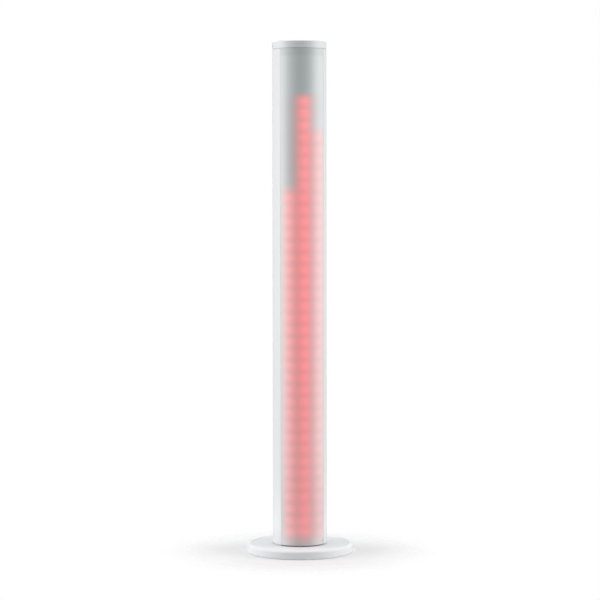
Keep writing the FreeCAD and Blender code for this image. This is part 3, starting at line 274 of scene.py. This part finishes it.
def circuit_board(name, mask, track):
    """Solder mask over a faint pattern of tracks, with a slight waviness."""
    g = Graph(name)
    bricks = g.node("ShaderNodeTexBrick", offset=0.37, squash=1.6)
    turned = g.node("ShaderNodeMapping")
    turned.inputs["Rotation"].default_value = (math.pi / 2, 0, 0)
    g.feed(turned.inputs["Vector"], g.place())
    g.feed(bricks.inputs["Vector"], turned.outputs[0])
    for socket, number in (("Scale", 160.0), ("Mortar Size", 0.03), ("Mortar Smooth", 0.2)):
        bricks.inputs[socket].default_value = number
    tone = g.mix(bricks.outputs["Fac"], shade(mask, 1.0), shade(track, 1.0))
    g.bump(bricks.outputs["Fac"], 0.2, 0.00005)
    return g.finish(Base_Color=tone, Roughness=g.around(g.noise(90), 0.33, 0.06))


# ---- the diffuser ----


def diffuser_material():
    """Frosted plastic in front of three LED columns, each lit up to its own row. The LEDs' light on it is
    painted, as a red emission and a red cast in its colour, and its colour has painted light towards its
    sides and painted shade at both ends.
    """
    g = Graph("diffuser_frost")
    x, y, z = g.xyz()
    azimuth = g.azimuth(x, y)
    phase = g.math("MULTIPLY", g.math("SUBTRACT", z, FIRST_LED), 2 * math.pi / LED_PITCH)
    wave = g.math("COSINE", phase)
    foot = g.step(z, *FOOT_FADE)
    cast_at_foot = g.step(z, *FOOT_FADE, FOOT_RED_CAST, 1.0)
    power = g.step(z, FIRST_LED, FIRST_LED + WEAK_ROWS * LED_PITCH, WEAK_GLOW, 1.0)
    glow, red_cast_total = 0.0, 0.0
    for column in LIT_COLUMNS.values():
        lobe = g.lobe(azimuth, column.azimuth, column.spread)
        cast_lobe = g.lobe(azimuth, column.azimuth, RED_CAST_SPREAD)
        last = FIRST_LED + (column.rows - 1) * LED_PITCH
        lit = g.step(z, last, last + column.fade * LED_PITCH, 1.0, 0.0)
        # each LED shows as a soft spot, clearest in the middle of its column
        swing = g.math("MULTIPLY", wave, column.contrast / 2)
        ripple = g.math("MULTIPLY", swing, g.math("MULTIPLY", lobe, lobe))
        glow = g.math("MULTIPLY_ADD", g.math("MULTIPLY", g.math("ADD", lobe, ripple), lit), column.red, glow)
        # painted light: the red cast that the LEDs' light throws on the diffuser, which takes green and blue
        # out of its colour
        pale = g.math("MULTIPLY_ADD", ripple, -SPOT_CLEARING, cast_lobe)
        red_cast_total = g.math("MULTIPLY_ADD", g.math("MULTIPLY", pale, lit), column.tint, red_cast_total)
    glow = g.math("MULTIPLY", g.math("MULTIPLY", glow, power), foot)
    clear = g.math("SUBTRACT", 1.0, g.math("MULTIPLY", red_cast_total, cast_at_foot))
    # painted shade: darker in front of the ring at the top, and by degrees over the lowest 200 mm above the
    # plug
    ring, plug = low("top_ring").z, high("bottom_cap").z
    ends = g.math(
        "MULTIPLY",
        g.step(z, ring - 3 * MM, ring + 5 * MM, 1.0, FROST_TOP_SHADE),
        g.step(z, plug - 6 * MM, plug + 200 * MM, FROST_FOOT_SHADE, 1.0),
    )
    # random tone, times the painted shade at the ends
    cloud_and_shade = g.math("MULTIPLY", g.around(g.noise(5), 1.0, 0.015), ends)
    # painted light: the colour grows paler towards the sides, where the side lights fall
    off_centre = g.math("ABSOLUTE", azimuth)
    tones = []
    for front, side in zip(FROST, FROST_SIDE_LIGHT):
        tones.append(g.math("MULTIPLY", cloud_and_shade, g.step(off_centre, *FROST_TURN, front, side)))
    base = g.colour(tones[0], g.math("MULTIPLY", tones[1], clear), g.math("MULTIPLY", tones[2], clear))
    g.bump(g.noise(1400, detail=2), 0.05, 0.00005)
    return g.finish(
        Base_Color=base,
        Roughness=g.around(g.noise(80), 0.46, 0.03),
        Specular_IOR_Level=0.3,
        Emission_Color=RED,
        Emission_Strength=glow,
    )


def housing_material():
    """Moulded white plastic, with painted shade that makes it a little darker at its foot."""
    g = Graph("housing_white")
    _, _, z = g.xyz()
    # painted shade at the foot
    foot = g.step(z, TUBE_LOW, TUBE_LOW + HOUSING_FOOT_SHADE_HEIGHT, HOUSING_FOOT_SHADE, 1.0)
    cloud_and_shade = g.math("MULTIPLY", g.around(g.noise(7), 1.0, 0.01), foot)
    tone = g.colour(*(g.math("MULTIPLY", cloud_and_shade, part) for part in HOUSING_TONE))
    g.bump(g.noise(900, detail=2), 0.04, 0.00008)
    gloss = g.around(g.noise(60, detail=4), 0.42, 0.05)
    return g.finish(Base_Color=tone, Roughness=gloss, Specular_IOR_Level=0.3)


def seat_material():
    """The seat that shows as a line under the tube: dark below the diffuser, and painted light makes it pale
    below the housing.
    """
    g = Graph("seat_with_painted_light")
    x, y, _ = g.xyz()
    azimuth = g.azimuth(x, y)
    off_centre = g.math("ABSOLUTE", g.math("SUBTRACT", azimuth, SEAT_DARKEST))
    # painted light: paler round the sides, below the housing
    tone = g.step(off_centre, *SEAT_TURN, SEAT_DARK, SEAT_PAINTED_LIGHT)
    tone = g.math("MULTIPLY", tone, g.around(g.noise(7), 1.0, 0.025))
    g.bump(g.noise(900, detail=2), 0.15, 0.00008)
    return g.finish(Base_Color=g.colour(tone, tone, tone), Roughness=0.5)


def led_material():
    """An LED package: a pale housing with a lit chip. Rows above the column's level are dark."""
    g = Graph("led_red")
    x, y, z = g.xyz()
    front = g.step(y, low("leds_centre").y + 0.2 * MM, low("leds_centre").y + 0.5 * MM, 1.0, 0.0)
    lit = 0.0
    for node, column in LIT_COLUMNS.items():
        last = FIRST_LED + (column.rows - 0.5) * LED_PITCH
        along = g.step(z, last, last + 0.1 * MM, 1.0, 0.0)
        centre = (low(node).x + high(node).x) / 2
        near = g.math("LESS_THAN", g.math("ABSOLUTE", g.math("SUBTRACT", x, centre)), LED_SIZE)
        lit = g.math("MULTIPLY_ADD", near, along, lit)
    tone = g.mix(g.noise(400), (0.86, 0.84, 0.78, 1.0), (0.93, 0.91, 0.86, 1.0))
    return g.finish(
        Base_Color=tone,
        Roughness=g.around(g.noise(300), 0.35, 0.06),
        Emission_Color=(1.0, 0.05, 0.05, 1.0),
        Emission_Strength=g.math("MULTIPLY", g.math("MULTIPLY", lit, front), LED_BRIGHTNESS),
    )


# ---- finishes for the CAD nodes ----

FINISHES = {
    "housing_white": housing_material,
    "diffuser_frost": diffuser_material,
    "cap_white": lambda: moulded("cap_white", CAP_TONE, 0.42, drift=0.01, Specular_IOR_Level=0.3),
    "base_white": lambda: moulded("base_white", BASE_TONE, 0.5, drift=0.01, Specular_IOR_Level=0.12),
    "weight_steel": lambda: moulded("weight_steel", (0.10, 0.10, 0.105), 0.55, grain=500, relief=0.3),
    "rubber_black": lambda: moulded("rubber_black", (0.03, 0.03, 0.03), 0.85, grain=1200, relief=0.4),
    "black_plastic": lambda: moulded("black_plastic", (0.09, 0.09, 0.093), 0.5, relief=0.15),
    "inner_plastic": lambda: moulded("inner_plastic", (0.72, 0.71, 0.68), 0.5),
    "panel_plastic": lambda: moulded("panel_plastic", (0.035, 0.036, 0.039), 0.5, grain=1500, relief=0.5),
    "screw_zinc": lambda: metal("screw_zinc", (0.62, 0.63, 0.64), 0.32),
    "screw_black": lambda: metal("screw_black", (0.05, 0.05, 0.052), 0.42),
    "aluminium": lambda: metal("aluminium", (0.78, 0.79, 0.80), 0.34, stretch=(1, 1, 0.03)),
    "board_white": lambda: circuit_board("board_white", (0.80, 0.80, 0.78), (0.70, 0.70, 0.68)),
    "board_green": lambda: circuit_board("board_green", (0.02, 0.14, 0.06), (0.04, 0.23, 0.10)),
    "led_red": led_material,
    "contact_brass": lambda: metal("contact_brass", (0.80, 0.62, 0.30), 0.25),
    "latch_steel": lambda: metal("latch_steel", (0.70, 0.71, 0.72), 0.22, stretch=(0.05, 1, 1)),
    "display_smoked": lambda: moulded("display_smoked", (0.02, 0.009, 0.010), 0.08, relief=0.0),
    "button_rubber": lambda: moulded("button_rubber", (0.20, 0.205, 0.21), 0.55, relief=0.2),
    "component_black": lambda: moulded("component_black", (0.035, 0.035, 0.035), 0.5, relief=0.2),
    "capacitor_sleeve": lambda: moulded("capacitor_sleeve", (0.03, 0.045, 0.12), 0.25),
    "fuse_glass": lambda: moulded("fuse_glass", (0.60, 0.66, 0.64), 0.08, relief=0.0),
    "wire_sleeve": lambda: moulded("wire_sleeve", (0.30, 0.04, 0.035), 0.4),
}


# finishes that aren't material slots: two for nodes, and the rest for the small pieces below
OTHER_FINISHES = {
    "seat_with_painted_light": seat_material,
    "screw_pale": lambda: moulded("screw_pale", (0.56, 0.56, 0.56), 0.45),
    "print_pale": lambda: moulded("print_pale", (0.80, 0.81, 0.81), 0.55),
    "digit_lit": lambda: moulded("digit_lit", (0.4, 0, 0), 0.3, Emission_Color=RED, Emission_Strength=1.6),
    "digit_unlit": lambda: moulded("digit_unlit", (0.05, 0.014, 0.015), 0.25),
}


# nodes that don't look like the rest of their slot
NODE_FINISHES = {"bottom_cap": "seat_with_painted_light", "diffuser_lock_screw": "screw_pale"}


def dress_nodes():
    """Makes all the finishes, and gives each CAD node its own."""
    made = {name: make() for name, make in {**FINISHES, **OTHER_FINISHES}.items()}
    for part in frame["record"]["subparts"]:
        node = frame["nodes"][part["node"]]
        finish = NODE_FINISHES.get(part["node"], part["material_slot"])
        node.data.materials.clear()
        node.data.materials.append(made[finish])
    return made


# ---- small moulded and printed pieces on the back ----
#
# Their outlines are drawn as they are seen from behind, in metres: across to the right, and up. So across is
# the other way from +X. Heights stand out towards +Y from the face that a piece is on.

# a band's profile goes from its inner outline (0) to its outer one (1), with the height in mm at each point
LIP = ((0.0, -0.2), (0.0, 0.5), (0.2, 0.75), (0.75, 0.75), (1.0, 0.4), (1.0, -0.2))
FRAME = ((0.0, -0.1), (0.0, 0.2), (0.3, 0.45), (0.8, 0.45), (1.0, 0.1), (1.0, -0.4))
RIDGE = ((0.0, -0.02), (0.15, 0.25), (0.85, 0.25), (1.0, -0.02))
PRINT = ((0.0, -0.02), (0.0, 0.05), (1.0, 0.05), (1.0, -0.02))

# the bars of a seven-segment digit, from end to end, in half widths and half heights
DIGIT_BARS = {
    "top": ((-1, 1), (1, 1)),
    "middle": ((-1, 0), (1, 0)),
    "bottom": ((-1, -1), (1, -1)),
    "upper_left": ((-1, 0), (-1, 1)),
    "upper_right": ((1, 0), (1, 1)),
    "lower_left": ((-1, -1), (-1, 0)),
    "lower_right": ((1, -1), (1, 0)),
}
ZERO = [bar for bar in DIGIT_BARS if bar != "middle"]
ONE = ["upper_right", "lower_right"]
# what the display reads: a blank place and then a number
DISPLAY_READS = ([], ZERO, ZERO, ONE)
DIGIT_PITCH = 7.4 * MM

# the mains inlet's rim, from one distance outside the cavity's outline to another
INLET_RIM = (0.1 * MM, 1.6 * MM)
# the rims round the data sockets, from the inner to the outer radius
RIM_RADII = (9.8 * MM, 11.8 * MM)
# the output's rim leaves out this many degrees to each side of the top, where its latch is
LATCH_GAP = 34
# the prints beside the sockets: where their middles are, and their sizes
ARROW_ACROSS = -20 * MM
ARROW_LENGTH = 8.5 * MM
WAVE_ACROSS = -22 * MM
WAVE_RING = (3.2 * MM, 3.7 * MM)
WAVE_REACH = 2.1 * MM
WAVE_HEIGHT = 1 * MM
WAVE_LINE = 0.5 * MM
# the border line goes round the display and the buttons
BORDER_BELOW_MENU = 6.5 * MM
BORDER_ABOVE_WINDOW = 4 * MM
BORDER_HALF_WIDTH = 23.5 * MM
BORDER_CORNER = 3 * MM
BORDER_LINE = 0.4 * MM

MICROPHONE_RING = (1.5 * MM, 2.4 * MM)
# the latch's grip ridges: how far each one is above the latch's middle, and their size
RIDGE_RISES = (-1.1 * MM, 0, 1.1 * MM)
RIDGE_HALF_LENGTH = 2.8 * MM
RIDGE_WIDTH = 0.55 * MM

SIGN_BARS = [((-1.5, z - 0.25), (1.5, z - 0.25), (1.5, z + 0.25), (-1.5, z + 0.25)) for z in (-1.1, 0, 1.1)]
SIGN_UP = ((-1.7, -1.1), (0, 1.5), (1.7, -1.1))
SIGN_DOWN = ((-1.7, 1.1), (0, -1.5), (1.7, 1.1))
SIGN_RETURN = (
    *((1.7, 1.3), (1.7, -0.6), (-0.5, -0.6), (-0.5, -1.35), (-1.9, -0.3)),
    *((-0.5, 0.75), (-0.5, 0.0), (1.1, 0.0), (1.1, 1.3)),
)
# the sign on each button, as outlines in millimetres about the button's middle
BUTTON_SIGNS = {"menu": SIGN_BARS, "down": [SIGN_DOWN], "up": [SIGN_UP], "enter": [SIGN_RETURN]}


class Relief:
    """A mesh built up from flat outlines on one face of the back."""

    def __init__(self, face):
        self.face = face
        self.mesh = bmesh.new()

    def vertex(self, across, up, height):
        return self.mesh.verts.new((-across, self.face + height, up))

    def band(self, inner, outer, profile, closed=True):
        """A raised strip between two outlines that have the same number of points."""
        rows = []
        for (a, b), (c, d) in zip(inner, outer):
            rows.append([self.vertex(a + (c - a) * t, b + (d - b) * t, height * MM) for t, height in profile])
        for row, following in zip(rows, rows[1:] + rows[:1] if closed else rows[1:]):
            for n in range(len(profile)):
                m = (n + 1) % len(profile)
                self.mesh.faces.new((row[n], row[m], following[m], following[n]))
        if not closed:
            self.mesh.faces.new(rows[0])
            self.mesh.faces.new(rows[-1])

    def plate(self, outline, bottom=-0.02 * MM, top=0.05 * MM):
        """A flat shape with straight sides."""
        below = [self.vertex(a, b, bottom) for a, b in outline]
        above = [self.vertex(a, b, top) for a, b in outline]
        self.mesh.faces.new(below)
        self.mesh.faces.new(above)
        for n in range(len(outline)):
            m = (n + 1) % len(outline)
            self.mesh.faces.new((below[n], below[m], above[m], above[n]))

    def finish(self, name, material, body=COLUMN):
        """Makes the mesh into a piece that rides on a body."""
        bmesh.ops.recalc_face_normals(self.mesh, faces=self.mesh.faces)
        data = bpy.data.meshes.new(name)
        self.mesh.to_mesh(data)
        self.mesh.free()
        data.shade_smooth()
        data.set_sharp_from_angle(angle=math.radians(35))
        data.materials.append(material)
        piece = bpy.data.objects.new(name, data)
        bpy.context.scene.collection.objects.link(piece)
        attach(piece, body)


def arc(across, up, radius, start=0, turn=360, points=64):
    """Points round a circle, or round part of one, from an angle that is measured clockwise from the top."""
    count = points if turn == 360 else points + 1
    angles = [math.radians(start + turn * n / points) for n in range(count)]
    return [(across + radius * math.sin(a), up + radius * math.cos(a)) for a in angles]


def rounded_frame(up, half_width, half_height, corner):
    """The outline of a rectangle with round corners, on the middle line."""
    spots = []
    for quarter, (side, rise) in enumerate(((1, 1), (1, -1), (-1, -1), (-1, 1))):
        centre = (side * (half_width - corner), up + rise * (half_height - corner))
        spots += arc(*centre, corner, start=90 * quarter, turn=90, points=6)
    return spots


def ribbon(spots, width):
    """The two edges of a line of even width along some points."""
    left, right = [], []
    for n, (a, b) in enumerate(spots):
        before, after = spots[max(n - 1, 0)], spots[min(n + 1, len(spots) - 1)]
        along = Vector(after) - Vector(before)
        side = Vector((-along.y, along.x)).normalized() * width / 2
        left.append((a + side.x, b + side.y))
        right.append((a - side.x, b - side.y))
    return left, right


def arrow(across, up, length, way):
    """An arrow that points to the right (way 1) or to the left (way -1)."""
    shaft, head, half = length * 0.07, length * 0.26, length / 2
    above = ((-half, shaft), (half - head, shaft), (half - head, head), (half, 0))
    below = [(a, -b) for a, b in reversed(above[:-1])]
    return [(across + way * a, up + b) for a, b in (*above, *below)]


def digit_bar(ends, across, up, half_width=2.2 * MM, half_height=4.4 * MM, thick=1.05 * MM, lean=7):
    """One bar of a digit: a leaning six-sided shape that stops a little short of its neighbours."""
    first, last = (Vector((a * half_width, b * half_height)) for a, b in ends)
    along = (last - first).normalized()
    side = Vector((-along.y, along.x)) * thick / 2
    tip, shoulder = along * thick * 0.12, along * thick * 0.6
    shape = (first + tip, first + shoulder + side, last - shoulder + side)
    shape += (last - tip, last - shoulder - side, first + shoulder - side)
    return [(across + p.x + p.y * math.tan(math.radians(lean)), up + p.y) for p in shape]


def inlet_outline(grow):
    """The outline of the inlet's cavity with its two stepped upper corners, grown outwards all round."""
    up = middle("power_inlet").z
    wide, narrow = 12 * MM + grow, 8 * MM + grow
    floor, step, top = -8.4 * MM - grow, 4 * MM + grow, 8.4 * MM + grow
    right = ((wide, floor), (wide, step), (narrow, step), (narrow, top))
    left = [(-a, b) for a, b in reversed(right)]
    return [(a, up + b) for a, b in (*right, *left)]


def make_socket_rims(made):
    """Raised rims round the mains inlet and the two data sockets."""
    rim = Relief(high("power_inlet").y)
    rim.band(*(inlet_outline(grow) for grow in INLET_RIM), LIP)
    rim.finish("inlet_rim", made["black_plastic"])
    for node, gap in (("data_input_socket", 0), ("data_output_socket", LATCH_GAP)):
        up = middle(node).z
        inner, outer = (arc(0, up, radius, start=gap, turn=360 - 2 * gap) for radius in RIM_RADII)
        rim = Relief(high(node).y)
        rim.band(inner, outer, LIP, closed=gap == 0)
        rim.finish(node.replace("socket", "rim"), made["black_plastic"])


def make_display(made):
    """The frame round the display's window, and its digits."""
    up, face = middle("display_window").z, high("display_window").y
    half_width, _, half_height = (high("display_window") - low("display_window")) / 2
    bezel = Relief(face)
    inner, outer = (
        rounded_frame(up, half_width + grow * MM, half_height + grow * MM, corner * MM)
        for grow, corner in ((-0.8, 0.6), (1.3, 1.8))
    )
    bezel.band(inner, outer, FRAME)
    bezel.finish("display_frame", made["panel_plastic"])
    lit, unlit = Relief(face), Relief(face)
    for place, bars in enumerate(DISPLAY_READS):
        across = (place - (len(DISPLAY_READS) - 1) / 2) * DIGIT_PITCH
        for bar, ends in DIGIT_BARS.items():
            (lit if bar in bars else unlit).plate(digit_bar(ends, across, up), top=0.03 * MM)
    lit.finish("display_digits", made["digit_lit"])
    unlit.finish("display_unlit_bars", made["digit_unlit"])


def make_button_signs(made):
    """The plain printed sign on each button."""
    for name, outlines in BUTTON_SIGNS.items():
        spot = middle(f"button_{name}")
        sign = Relief(high(f"button_{name}").y)
        for outline in outlines:
            sign.plate([(a * MM - spot.x, b * MM + spot.z) for a, b in outline])
        sign.finish(f"{name}_sign", made["print_pale"], body=f"{name}_button")


def make_panel_prints(made):
    """An arrow into and out of the data sockets, a wave in a ring by the mains inlet, and a border line."""
    prints = Relief(PANEL_FLOOR)
    for node, way in (("data_input_socket", 1), ("data_output_socket", -1)):
        prints.plate(arrow(ARROW_ACROSS, middle(node).z, ARROW_LENGTH, way))
    up = middle("power_inlet").z
    prints.band(*(arc(WAVE_ACROSS, up, radius) for radius in WAVE_RING), PRINT)
    turns = [n / 12 for n in range(-12, 13)]
    wave = [(WAVE_ACROSS + t * WAVE_REACH, up + math.sin(math.pi * t) * WAVE_HEIGHT) for t in turns]
    prints.band(*ribbon(wave, WAVE_LINE), PRINT, closed=False)
    bottom = middle("button_menu").z - BORDER_BELOW_MENU
    top = high("display_window").z + BORDER_ABOVE_WINDOW
    centre, half_height = (bottom + top) / 2, (top - bottom) / 2
    inner, outer = (
        rounded_frame(centre, BORDER_HALF_WIDTH - inset, half_height - inset, BORDER_CORNER)
        for inset in (BORDER_LINE, 0)
    )
    prints.band(inner, outer, PRINT)
    prints.finish("panel_prints", made["print_pale"])


def make_microphone_ring(made):
    """The raised ring round the hole that the microphone listens through."""
    up = middle("microphone").z
    ring = Relief(PANEL_FLOOR)
    ring.band(*(arc(0, up, radius, points=32) for radius in MICROPHONE_RING), LIP)
    ring.finish("microphone_ring", made["panel_plastic"])


def make_latch_ridges(made):
    """Three grip ridges across the latch."""
    up = middle("output_latch").z
    ridges = Relief(high("output_latch").y)
    for rise in RIDGE_RISES:
        line = [(-RIDGE_HALF_LENGTH, up + rise), (RIDGE_HALF_LENGTH, up + rise)]
        ridges.band(*ribbon(line, RIDGE_WIDTH), RIDGE, closed=False)
    ridges.finish("latch_ridges", made["latch_steel"], body="latch")


# ---- the studio ----


def make_camera():
    data = bpy.data.cameras.new("camera")
    data.sensor_width = 36
    data.lens = CAMERA_LENS
    data.clip_end = 50
    camera = bpy.data.objects.new("camera", data)
    bpy.context.scene.collection.objects.link(camera)
    azimuth = math.radians(CAMERA_AZIMUTH)
    spot = Vector((math.sin(azimuth), -math.cos(azimuth), 0)) * CAMERA_DISTANCE
    spot.z = CAMERA_HEIGHT
    turn = Matrix.Rotation(azimuth - math.radians(CAMERA_YAW), 4, "Z")
    tip = Matrix.Rotation(math.radians(90 - CAMERA_PITCH), 4, "X")
    roll = Matrix.Rotation(-math.radians(CAMERA_ROLL), 4, "Z")
    camera.matrix_world = Matrix.Translation(spot) @ turn @ tip @ roll
    bpy.context.scene.camera = camera


def make_softbox(name, azimuth, radiance):
    """A rectangular light that isn't seen itself."""
    data = bpy.data.lights.new(name, "AREA")
    data.shape = "RECTANGLE"
    data.size, data.size_y = SOFTBOX_SIZE
    data.energy = radiance * math.pi * math.prod(SOFTBOX_SIZE)
    lamp = bpy.data.objects.new(name, data)
    bpy.context.scene.collection.objects.link(lamp)
    turn = math.radians(CAMERA_AZIMUTH + azimuth)
    spot = Vector((math.sin(turn), -math.cos(turn), 0)) * SOFTBOX_DISTANCE
    spot.z = SOFTBOX_HEIGHT
    lamp.location = spot
    lamp.rotation_euler = (SOFTBOX_AIM - spot).to_track_quat("-Z", "Y").to_euler()
    lamp.visible_camera = False


def make_overhead():
    """A broad soft light from high above, so far away that the cap gets no more of it than the base."""
    data = bpy.data.lights.new("overhead", "SUN")
    data.angle = math.radians(OVERHEAD_SPREAD)
    data.energy = OVERHEAD_LIGHT
    lamp = bpy.data.objects.new("overhead", data)
    bpy.context.scene.collection.objects.link(lamp)
    # it leans back a little, away from the camera
    lamp.rotation_euler = (math.radians(-OVERHEAD_LEAN), 0, math.radians(CAMERA_AZIMUTH))


def make_world():
    """White to the camera, and a low even fill to everything else."""
    world = bpy.data.worlds.new("studio")
    bpy.context.scene.world = world
    world.use_nodes = True
    tree = world.node_tree
    tree.nodes.clear()
    path = tree.nodes.new("ShaderNodeLightPath")
    fill = tree.nodes.new("ShaderNodeBackground")
    fill.inputs["Color"].default_value = (1.0, 1.0, 1.0, 1.0)
    fill.inputs["Strength"].default_value = FILL_LIGHT
    white = tree.nodes.new("ShaderNodeBackground")
    white.inputs["Color"].default_value = (1.0, 1.0, 1.0, 1.0)
    both = tree.nodes.new("ShaderNodeMixShader")
    out = tree.nodes.new("ShaderNodeOutputWorld")
    tree.links.new(path.outputs["Is Camera Ray"], both.inputs[0])
    tree.links.new(fill.outputs[0], both.inputs[1])
    tree.links.new(white.outputs[0], both.inputs[2])
    tree.links.new(both.outputs[0], out.inputs[0])


def make_floor():
    """A pale round floor that fades into the white round it."""
    outline = bmesh.new()
    bmesh.ops.create_circle(outline, cap_ends=True, segments=128, radius=FLOOR_RADIUS)
    mesh = bpy.data.meshes.new("floor")
    outline.to_mesh(mesh)
    outline.free()
    floor = bpy.data.objects.new("floor", mesh)
    bpy.context.scene.collection.objects.link(floor)
    g = Graph("floor_paper")
    distance = g.node("ShaderNodeVectorMath", operation="LENGTH")
    g.feed(distance.inputs[0], g.place())
    cover = g.step(distance.outputs["Value"], *FLOOR_FADE, 1.0, 0.0)
    tone = g.mix(g.noise(30), (0.65, 0.65, 0.655, 1), (0.67, 0.67, 0.675, 1))
    mesh.materials.append(g.finish(Base_Color=tone, Roughness=0.9, Alpha=cover))


make_camera()
finishes = dress_nodes()
make_socket_rims(finishes)
make_display(finishes)
make_button_signs(finishes)
make_panel_prints(finishes)
make_microphone_ring(finishes)
make_latch_ridges(finishes)
make_softbox("softbox_left", LEFT_AZIMUTH, LEFT_RADIANCE)
make_softbox("softbox_right", RIGHT_AZIMUTH, RIGHT_RADIANCE)
make_overhead()
make_world()
make_floor()
bpy.context.scene.view_settings.view_transform = "Standard"
